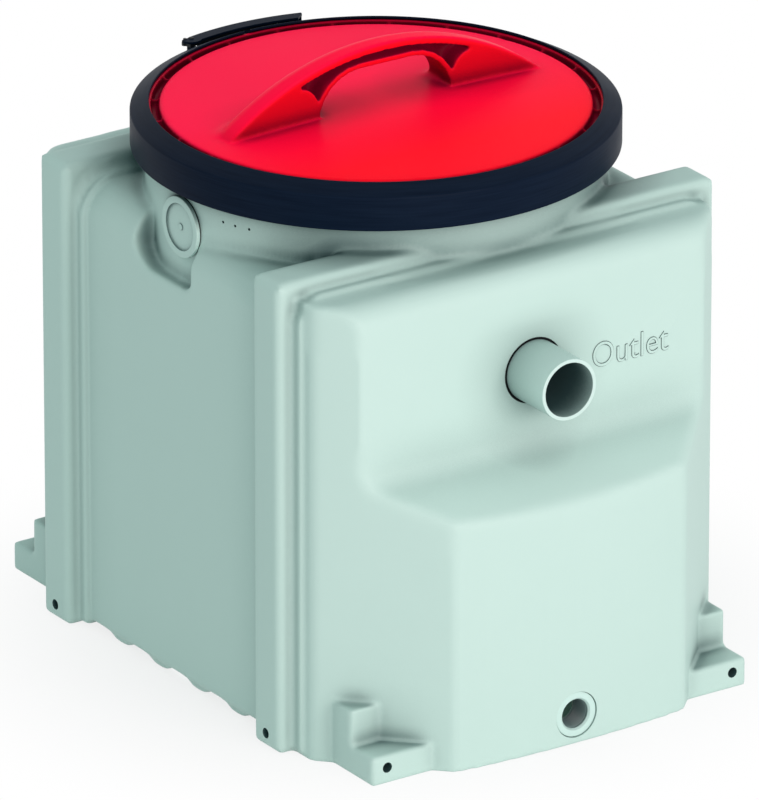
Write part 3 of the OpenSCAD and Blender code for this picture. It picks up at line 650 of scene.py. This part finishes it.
pipe_r = 25 * mm
pipe_bore_r = 22 * mm
spigot_r = 24.7 * mm
rim_ease = 0.5 * mm
tank_wall = 6 * mm
rubber_gap = 0.15 * mm
rubber_ease = 0.2 * mm
grommet_sunk = 0.5 * mm
grommet_lip = 3 * mm
grommet_lip_r = 32 * mm
grommet_lip_ease = 1 * mm
pipe_plastic = moulded_plastic(
    "pipe_plastic",
    pale=(0.70, 0.90, 0.84),
    deep=(0.66, 0.86, 0.80),
    rough=(0.34, 0.46),
    grain_scale=1400.0,
    grain_depth=0.06,
    specular=0.3,
    reach=0.08,
)
fresh_cut = moulded_plastic(
    "fresh_cut_pipe",
    pale=(0.72, 0.90, 0.85),
    deep=(0.68, 0.86, 0.81),
    rough=(0.5, 0.6),
    grain_scale=1800.0,
    grain_depth=0.12,
    specular=0.2,
    reach=0.01,
)
rubber = moulded_plastic(
    "rubber",
    pale=(0.014, 0.016, 0.018),
    deep=(0.008, 0.009, 0.011),
    rough=(0.6, 0.8),
    grain_scale=1600.0,
    grain_depth=0.2,
    speck=0.2,
    specular=0.1,
)
for port, at_z, side in (("outlet", outlet_z, -1), ("inlet", inlet_z, 1)):
    lo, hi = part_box(port + "_pipe")
    near, far = sorted((abs(lo.y), abs(hi.y)))
    stub = turned_mesh(port + "_stub", (0, 0, at_z), (0, side, 0), [
        (near, pipe_bore_r, rim_ease),
        (far, pipe_bore_r, rim_ease),
        (far, pipe_r, rim_ease),
        (face_y, pipe_r, 0),
        (face_y, spigot_r, 0),
        (near, spigot_r, rim_ease),
    ])
    piece(port + "_stub", stub, pipe_plastic, "tank", "pipe_pe", port + "_pipe")
    stub.materials.append(fresh_cut)
    for face in stub.polygons:
        face.material_index = int(abs(face.center.y) > far - rim_ease / 4)
    inner = face_y - tank_wall
    grommet = turned_mesh(port + "_grommet", (0, 0, at_z), (0, side, 0), [
        (inner - grommet_lip, spigot_r + rubber_gap, 0),
        (face_y - grommet_sunk, spigot_r + rubber_gap, rubber_ease),
        (face_y - grommet_sunk, pipe_hole_r - rubber_gap, rubber_ease),
        (inner, pipe_hole_r - rubber_gap, 0),
        (inner, grommet_lip_r, grommet_lip_ease),
        (inner - grommet_lip, grommet_lip_r, grommet_lip_ease),
    ])
    piece(port + "_grommet", grommet, rubber, "tank", "rubber", port + "_seal")


# Pipes inside. A tee and a dip pipe make the outlet draw from below the grease, and an elbow
# turns the inlet down. All are polyethylene fittings pushed onto the stubs.

def eased(node, width, segments=2):
    """A node's solid with its hard edges eased by a small round."""
    bm = welded(node)
    bmesh.ops.dissolve_limit(bm, angle_limit=math.radians(1), verts=bm.verts, edges=bm.edges)
    mesh = mesh_of(bm, node + "_eased")
    return evaluated(
        mesh,
        ("BEVEL", {"width": width, "segments": segments, "limit_method": "ANGLE",
                   "angle_limit": hard_edge, "harden_normals": False}),
        ("WEIGHTED_NORMAL", {"keep_sharp": True}),
    )


fitting_ease = 0.4 * mm
for node in ("outlet_tee", "inlet_elbow"):
    piece(node + "_fitting", eased(node, fitting_ease), pipe_plastic, "tank", "pipe_pe", node)
lo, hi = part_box("outlet_dip_pipe")
dip_pipe = turned_mesh("dip_pipe", (0, (lo.y + hi.y) / 2, 0), (0, 0, 1), [
    (lo.z, pipe_bore_r, rim_ease),
    (hi.z, pipe_bore_r, rim_ease),
    (hi.z, pipe_r, rim_ease),
    (lo.z, pipe_r, rim_ease),
])
piece("dip_pipe", dip_pipe, pipe_plastic, "tank", "pipe_pe", "outlet_dip_pipe")


# Drain bush. A turned polyethylene bush with a flange that sits in a round seat low on the
# front, with a 3/4 inch female thread for a tap or plug.

bush_bore_r = 12.05 * mm
bush_barrel_r = 16.05 * mm
bush_flange_r = 18.5 * mm
bush_flange = 3 * mm
bush_ease = 0.6 * mm
bush_mouth = 1.4 * mm
bush_mouth_depth = 1.6 * mm
bush_mouth_ease = 0.3 * mm
thread_pitch = 1.814 * mm
thread_depth = 1.1 * mm
thread_start = 3 * mm
thread_root = (0.4, 0.6)
lo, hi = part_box("drain_bush")
bush_length = hi.y - lo.y
bush_corners = [(0, bush_bore_r + bush_mouth, bush_mouth_ease), (bush_mouth_depth, bush_bore_r, 0)]
for turn in range(int((bush_length - thread_start) / thread_pitch)):
    along = thread_start + turn * thread_pitch
    bush_corners.append((along, bush_bore_r, 0))
    for share in thread_root:
        bush_corners.append((along + share * thread_pitch, bush_bore_r + thread_depth, 0))
bush_corners += [
    (bush_length, bush_bore_r, 0),
    (bush_length, bush_barrel_r, bush_ease),
    (bush_flange, bush_barrel_r, 0),
    (bush_flange, bush_flange_r, 0),
    (0, bush_flange_r, bush_ease),
]
bush_plastic = moulded_plastic(
    "bush_plastic",
    pale=(0.70, 0.92, 0.86),
    deep=(0.64, 0.85, 0.79),
    rough=(0.36, 0.5),
    grain_scale=1200.0,
    grain_depth=0.08,
)
bush = turned_mesh("drain_bush_turned", (0, lo.y, drain_z), (0, 1, 0), bush_corners)
piece("drain_bush_turned", bush, bush_plastic, "tank", "bush_pe", "drain_bush")


# Vent plug. A blanking plug of the tank's own plastic, with a shallow round recess and the
# mark of its moulding gate in the middle. A thin rubber washer seals it on the neck.

lo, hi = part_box("vent_plug")
plug_front = -lo.x
plug_end = -hi.x
plug_r = (hi.z - lo.z) / 2
plug_flange = 3 * mm
plug_recess = 1.8 * mm
plug_rim = 0.75 * mm
plug_shell = 3 * mm
plug_ease = 0.5 * mm
plug_rim_ease = 0.7 * mm
plug_barrel_r = vent_hole_r - rubber_gap
plug_recess_r = plug_barrel_r - plug_rim
plug_shell_r = plug_barrel_r - plug_shell
plug_back = plug_front - plug_flange
plug_floor = plug_front - plug_recess
gate_r = 2.5 * mm
gate_ease = 0.3 * mm
gate_top = plug_floor + plug_recess / 2
plug = turned_mesh("vent_plug_moulding", (0, 0, vent_z), (-1, 0, 0), [
    (gate_top, 0, 0),
    (gate_top, gate_r, gate_ease),
    (plug_floor, gate_r, gate_ease),
    (plug_floor, plug_recess_r, plug_ease),
    (plug_front, plug_recess_r, plug_ease),
    (plug_front, plug_r, plug_rim_ease),
    (plug_back, plug_r, 0),
    (plug_back, plug_barrel_r, 0),
    (plug_end, plug_barrel_r, plug_ease),
    (plug_end, plug_shell_r, plug_ease),
    (plug_back, plug_shell_r, 0),
    (plug_back, 0, 0),
], closed=False)
piece("vent_plug_moulding", plug, tank_plastic, "tank", "tank_pe", "vent_plug")
washer = turned_mesh("vent_washer", (0, 0, vent_z), (-1, 0, 0), [
    (vent_seat_x, plug_barrel_r + rubber_gap, 0),
    (plug_back, plug_barrel_r + rubber_gap, 0),
    (plug_back, plug_r - rubber_gap, rubber_ease),
    (vent_seat_x, plug_r - rubber_gap, rubber_ease),
])
piece("vent_washer", washer, rubber, "tank", "rubber", "vent_seal")


# Sludge bucket. A slotted bucket of moulded polyethylene that stands under the inlet, with a
# bent wire bail in its two lugs. The wire is zinc plated steel.

def brushed_group():
    """Fine lines along the object's turn: Streak runs round the Z axis, Grime is a broad cloud."""
    scales = {"Streak Scale": 700.0, "Cloud Scale": 25.0}
    group, given, result = node_group("brushed", scales, ["Streak", "Grime"])
    place = group.nodes.new("ShaderNodeTexCoord")
    stretch = group.nodes.new("ShaderNodeMapping")
    stretch.inputs["Scale"].default_value = (0.03, 0.03, 1.0)
    group.links.new(place.outputs["Object"], stretch.inputs["Vector"])
    lines = group.nodes.new("ShaderNodeTexNoise")
    group.links.new(stretch.outputs["Vector"], lines.inputs["Vector"])
    group.links.new(given.outputs["Streak Scale"], lines.inputs["Scale"])
    group.links.new(lines.outputs["Fac"], result.inputs["Streak"])
    cloud = group.nodes.new("ShaderNodeTexNoise")
    cloud.inputs["Detail"].default_value = 5.0
    group.links.new(place.outputs["Object"], cloud.inputs["Vector"])
    group.links.new(given.outputs["Cloud Scale"], cloud.inputs["Scale"])
    group.links.new(cloud.outputs["Fac"], result.inputs["Grime"])
    return group


brushed = brushed_group()
streak_height = 0.2 * mm


def brushed_metal(name, pale, deep, rough, metallic, specular, depth):
    """Sheet or wire with fine lines in colour and relief, and a cloud in roughness."""
    material, tree, shader = new_material(name, specular)
    shader.inputs["Metallic"].default_value = metallic
    lines = group_in(tree, brushed, {})
    tree.links.new(blend(tree, lines["Streak"], deep, pale), shader.inputs["Base Color"])
    tree.links.new(ramp(tree, lines["Grime"], *rough), shader.inputs["Roughness"])
    bump(tree, lines["Streak"], shader, depth, streak_height)
    return material


bucket_ease = 0.7 * mm
wire_ease = 0.3 * mm
zinc = brushed_metal(
    "zinc_plated_steel",
    pale=(0.62, 0.63, 0.64),
    deep=(0.5, 0.51, 0.53),
    rough=(0.25, 0.45),
    metallic=1.0,
    specular=0.5,
    depth=0.08,
)
bucket = eased("sludge_bucket", bucket_ease)
piece("bucket_moulding", bucket, pipe_plastic, "tank", "pipe_pe", "sludge_bucket")
piece("bail_wire", eased("bucket_bail", wire_ease), zinc, "bail", "steel", "bucket_bail")


# Lid. One injection moulding in signal red: a domed disc, a ribbed gutter around it and an
# arched handle that rolls over into the disc at the back and is cored from the front.
# A flat rubber seal lies under its rim.

lid_voxel = 1.25 * mm
lid_triangles = 190000
lid_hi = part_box("lid")[1]
disc_z = 444.3 * mm
handle_passes = 70
handle_half = 147 * mm
handle_margin = 4 * mm
handle_reach = handle_half + handle_margin
handle_along = (-handle_reach, handle_reach, 10 * mm)
handle_behind = (6 * mm, 50 * mm, 8 * mm)
handle_height = (disc_z - 2 * mm, lid_hi.z + far_off, 3 * mm)


def handle_back(x, y, z):
    """Where the handle runs out softly into the disc behind it."""
    return within(x, *handle_along) * within(y, *handle_behind) * within(z, *handle_height)


lid_mesh = remeshed(welded("lid"), lid_voxel)
relaxed(lid_mesh, rolled_passes)
relaxed(lid_mesh, handle_passes, handle_back)
lid_mesh = thinned(lid_mesh, lid_triangles)
lid_mesh.shade_smooth()
lid_mesh = evaluated(lid_mesh, ("WEIGHTED_NORMAL", {"weight": normal_weight}))
# The lid's red carries a painted sheen toward the back, painted light on upright faces and painted shade
# in creases
lid_plastic = moulded_plastic(
    "lid_plastic",
    pale=(0.97, 0.002, 0.018),
    deep=(0.95, 0.001, 0.012),
    rough=(0.34, 0.44),
    grain_scale=1300.0,
    grain_depth=0.03,
    speck=0.03,
    specular=0.02,
    reach=0.045,
    rear=(0.96, 0.003, 0.054),
    upright=(1.0, 0.004, 0.018),
    dark=(0.16, 0.001, 0.014),
)
piece("lid_moulding", lid_mesh, lid_plastic, "lid", "lid_red", "lid")

lo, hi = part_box("lid_seal")
seal_in = 174 * mm
seal_ease = 0.8 * mm
flat_seal = turned_mesh("lid_flat_seal", (0, 0, 0), (0, 0, 1), [
    (lo.z, seal_in, 0),
    (lo.z, hi.x, seal_ease),
    (hi.z, hi.x, seal_ease),
    (hi.z, seal_in, 0),
], segments=192)
piece("lid_flat_seal", flat_seal, rubber, "lid", "rubber", "lid_seal")


# Clamp ring. A rolled steel channel with a blue-black coat, split at the back. Its sloping lip
# holds the lid down, and a turned-in edge catches under the bead of the neck.

ring_lo, ring_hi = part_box("clamp_ring")
ring_r = ring_hi.x
ring_t = 2 * mm
ring_in = ring_r - ring_t
lip_width = 15 * mm
lip_fall = 7.7 * mm
lip_slope = lip_fall / lip_width
lip_drop = ring_t * math.hypot(1, lip_slope)
ring_lip_r = ring_r - lip_width
ring_crease = ring_hi.z - lip_fall
turned_in = 2.5 * mm
ring_lower_r = ring_in - turned_in
lower_bend = 1.4 * mm
upper_bend = 2.2 * mm
inner_bend = 0.8 * mm
lip_edge = (0.8 * mm, 0.6 * mm)
lower_edge = 0.5 * mm
split_turn = math.radians(91)
split_width = 6 * mm
half_split = split_width / 2 / ring_r
ring_black = brushed_metal(
    "ring_black",
    pale=(0.007, 0.016, 0.036),
    deep=(0.001, 0.005, 0.016),
    rough=(0.38, 0.5),
    metallic=0.0,
    specular=0.04,
    depth=0.25,
)
ring = turned_mesh("clamp_ring_rolled", (0, 0, 0), (0, 0, 1), [
    (ring_lo.z, ring_lower_r, lower_edge),
    (ring_lo.z, ring_r, lower_bend),
    (ring_crease, ring_r, upper_bend),
    (ring_hi.z, ring_lip_r, lip_edge[0]),
    (ring_hi.z - lip_drop, ring_lip_r, lip_edge[1]),
    (ring_crease + ring_t * lip_slope - lip_drop, ring_in, inner_bend),
    (ring_lo.z + ring_t, ring_in, inner_bend),
    (ring_lo.z + ring_t, ring_lower_r, lower_edge),
], segments=360, sweep=(split_turn + half_split, split_turn + 2 * math.pi - half_split), start=(1, 0, 0))
piece("clamp_ring_rolled", ring, ring_black, "ring", "ring_black", "clamp_ring")


# Lever lock. A curved sheet lever turns on a pin in the hinge bracket and draws a wire link over
# the strike on the ring's other end. Brackets and lever are coated like the ring and riveted to
# it, and the pins, rivets and link are dark phosphated steel.

sheet_ease = 0.35 * mm
pin_ease = 0.25 * mm
phosphated = brushed_metal(
    "phosphated_steel",
    pale=(0.030, 0.034, 0.040),
    deep=(0.018, 0.021, 0.026),
    rough=(0.4, 0.55),
    metallic=0.4,
    specular=0.2,
    depth=0.1,
)
sheet_nodes = {"hinge_bracket": "ring", "strike_bracket": "ring", "clamp_lever": "lever"}
for node, body in sheet_nodes.items():
    piece(node + "_sheet", eased(node, sheet_ease), ring_black, body, "ring_black", node)
steel_nodes = {"lever_pin": "ring", "bracket_rivets": "ring", "link_pins": "lever", "clamp_link": "link"}
for node, body in steel_nodes.items():
    piece(node + "_steel", eased(node, pin_ease), phosphated, body, "steel", node)


# Studio. A pale floor that keeps the object's shadow, and the photo's own camera. The sky gives soft
# light from all sides, a wide lamp stands low in front, and a narrow one hangs over the lid.

def aimed(name, data, turn, lift, distance, target):
    """A camera or lamp at a turn from the front and a lift from level, looking at the target."""
    turn, lift = math.radians(turn), math.radians(lift)
    toward = Vector((math.sin(turn) * math.cos(lift), -math.cos(turn) * math.cos(lift), math.sin(lift)))
    made = placed(name, data)
    made.location = target + distance * toward
    made.rotation_euler = (-toward).to_track_quat("-Z", "Y").to_euler()
    return made


look_at = Vector((3.26, 0, 192.14)) * mm
camera_data = bpy.data.cameras.new("camera")
camera_data.sensor_width = 36
camera_data.lens = 620.25
camera_data.clip_end = 100
camera = aimed("camera", camera_data, turn=-33.93, lift=22.62, distance=10.80336, target=look_at)
bpy.context.scene.camera = camera


def seen_directly(tree):
    """1 for rays from the camera and for those that metal and glass send on, else 0."""
    path = tree.nodes.new("ShaderNodeLightPath")
    total = path.outputs["Is Camera Ray"]
    for label in ("Is Glossy Ray", "Is Transmission Ray"):
        total = maths(tree, "MAXIMUM", total, path.outputs[label])
    return total


ambient = 0.53
ambient_tint = (0.85, 1.0, 1.0)
sky = bpy.data.worlds.new("studio_sky")
bpy.context.scene.world = sky
sky.use_nodes = True
sky_tree = sky.node_tree
sky_light = sky_tree.nodes["Background"]
seen = seen_directly(sky_tree)
sky_tree.links.new(blend(sky_tree, seen, ambient_tint, (1, 1, 1)), sky_light.inputs["Color"])
sky_tree.links.new(ramp(sky_tree, seen, ambient, 1.0), sky_light.inputs["Strength"])

key_data = bpy.data.lights.new("key_light", "AREA")
key_data.shape = "RECTANGLE"
key_data.size = 2.0
key_data.size_y = 0.7
key_data.energy = 30
key_data.color = (1.0, 0.87, 0.86)
aimed("key_light", key_data, turn=-3, lift=16, distance=2.6, target=look_at)

# The narrow lamp covers the lid and nothing around it, and throws no shadow
top_height = 7.5
lit_r = 173 * mm
lid_middle = Vector((0, 0, disc_z))
top_data = bpy.data.lights.new("lid_light", "SPOT")
top_data.spot_size = 2 * math.atan(lit_r / top_height)
top_data.spot_blend = 0.05
top_data.shadow_soft_size = 0.004
top_data.use_shadow = False
top_data.energy = 1090
aimed("lid_light", top_data, turn=0, lift=90, distance=top_height, target=lid_middle)

# The floor turns to plain white away from the object, for what is seen directly
white_from = 0.1
white_at = 0.42
least_white = 0.72
floor_bm = bmesh.new()
bmesh.ops.create_grid(floor_bm, x_segments=1, y_segments=1, size=12)
floor = placed("floor", mesh_of(floor_bm, "floor"))
pale_floor, floor_tree, floor_shader = new_material("pale_floor", specular=0.5)
floor_shader.inputs["Base Color"].default_value = (0.86, 0.87, 0.87, 1)
floor_shader.inputs["Roughness"].default_value = 0.9
white = floor_tree.nodes.new("ShaderNodeEmission")
floor_place = floor_tree.nodes.new("ShaderNodeTexCoord")
from_middle = floor_tree.nodes.new("ShaderNodeVectorMath")
from_middle.operation = "LENGTH"
floor_tree.links.new(floor_place.outputs["Object"], from_middle.inputs[0])
away = ramp(floor_tree, from_middle.outputs["Value"], least_white, 1.0, white_from, white_at, "SMOOTHSTEP")
fade = floor_tree.nodes.new("ShaderNodeMixShader")
floor_tree.links.new(maths(floor_tree, "MULTIPLY", away, seen_directly(floor_tree)), fade.inputs[0])
floor_tree.links.new(floor_shader.outputs["BSDF"], fade.inputs[1])
floor_tree.links.new(white.outputs["Emission"], fade.inputs[2])
floor_tree.links.new(fade.outputs["Shader"], floor_tree.nodes["Material Output"].inputs["Surface"])
floor.data.materials.append(pale_floor)

bpy.context.scene.view_settings.view_transform = "Standard"
